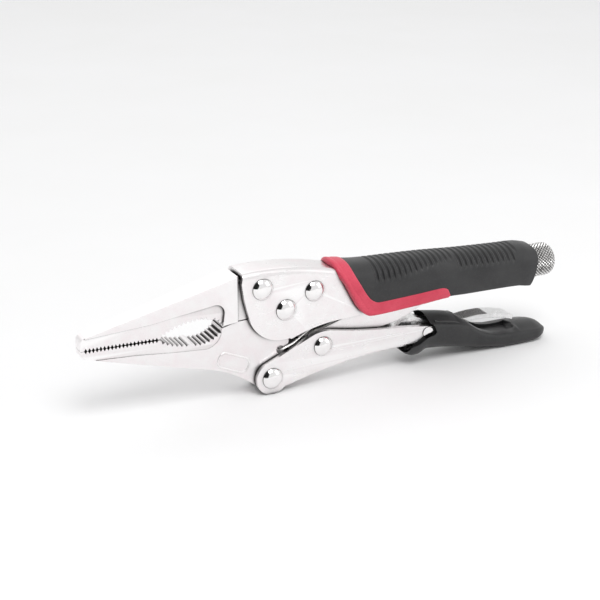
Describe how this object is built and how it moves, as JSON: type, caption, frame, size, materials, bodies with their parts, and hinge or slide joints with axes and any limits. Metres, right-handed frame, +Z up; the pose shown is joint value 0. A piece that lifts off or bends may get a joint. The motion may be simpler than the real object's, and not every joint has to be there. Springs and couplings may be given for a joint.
{
  "type": "locking pliers",
  "caption": "Long-nose locking pliers with toothed jaws, a pipe eye, an over-centre toggle, an adjusting knob and soft grips.",
  "frame": {"origin": "middle of the overall length, in the tool's mid plane, on the surface that the pivot boss and the lower grip stand on", "axes": "+X from the jaw tips to the adjusting knob, +Z up from the lower handle to the upper handle, +Y across the tool"},
  "size_m": [0.225, 0.0228, 0.0559],
  "materials": {
    "body_steel": "satin nickel-chrome plate on folded sheet steel",
    "jaw_steel": "satin nickel-chrome plate on forged steel",
    "release_steel": "plated sheet steel with a knurled thumb pad",
    "rivet_steel": "polished steel",
    "screw_steel": "bright zinc-plated steel thread",
    "knob_steel": "knurled bright steel",
    "spring_steel": "drawn spring wire",
    "red_rubber": "soft red moulding, satin",
    "black_rubber": "black rubber moulding, matte with raised ribs"
  },
  "bodies": {
    "root": {"body_channel": "body_steel", "upper_jaw": "jaw_steel", "upper_jaw_front_rivet": "rivet_steel", "upper_jaw_rear_rivet": "rivet_steel", "jaw_pivot_rivet": "rivet_steel", "upper_grip_base": "red_rubber", "upper_grip_cover": "black_rubber", "return_spring": "spring_steel"},
    "jaw": {"lower_jaw": "jaw_steel"},
    "lever": {"lower_lever": "body_steel", "lever_pivot_rivet": "rivet_steel", "toggle_rivet": "rivet_steel", "release_pin": "rivet_steel", "lower_grip": "black_rubber"},
    "link": {"toggle_link": "body_steel"},
    "release": {"release_lever": "release_steel"},
    "screw": {"adjusting_screw": "screw_steel"},
    "knob": {"adjusting_knob": "knob_steel"}
  },
  "joints": [
    {"name": "jaw_pivot", "type": "hinge", "parent": "root", "child": "jaw", "pos_m": [-0.0244, 0, 0.0372], "axis": [0, -1, 0], "range_deg": [0, 24], "deforming": ["return_spring"]},
    {"name": "lever_swing", "type": "hinge", "parent": "jaw", "child": "lever", "pos_m": [-0.0308, 0, 0.0072], "axis": [0, 1, 0], "range_deg": [0, 73]},
    {"name": "toggle_pivot", "type": "hinge", "parent": "lever", "child": "link", "pos_m": [-0.007, 0, 0.0176], "axis": [0, -1, 0], "range_deg": [0, 73]},
    {"name": "release_pivot", "type": "hinge", "parent": "lever", "child": "release", "pos_m": [0.0448, 0, 0.0145], "axis": [0, 1, 0], "range_deg": [0, 5]},
    {"name": "screw_travel", "type": "slide", "parent": "root", "child": "screw", "axis": [1, 0, 0], "range_m": [0, 0.018]},
    {"name": "knob_turn", "type": "hinge", "parent": "screw", "child": "knob", "pos_m": [0.105, 0, 0.0364], "axis": [-1, 0, 0], "range_deg": [0, 5184]}
  ],
  "couplings": [
    {"joint": "jaw_pivot", "follows": "lever_swing", "ratio": 0.3287},
    {"joint": "toggle_pivot", "follows": "lever_swing", "ratio": 1},
    {"joint": "knob_turn", "follows": "screw_travel", "rad_per_m": 5026.5}
  ]
}
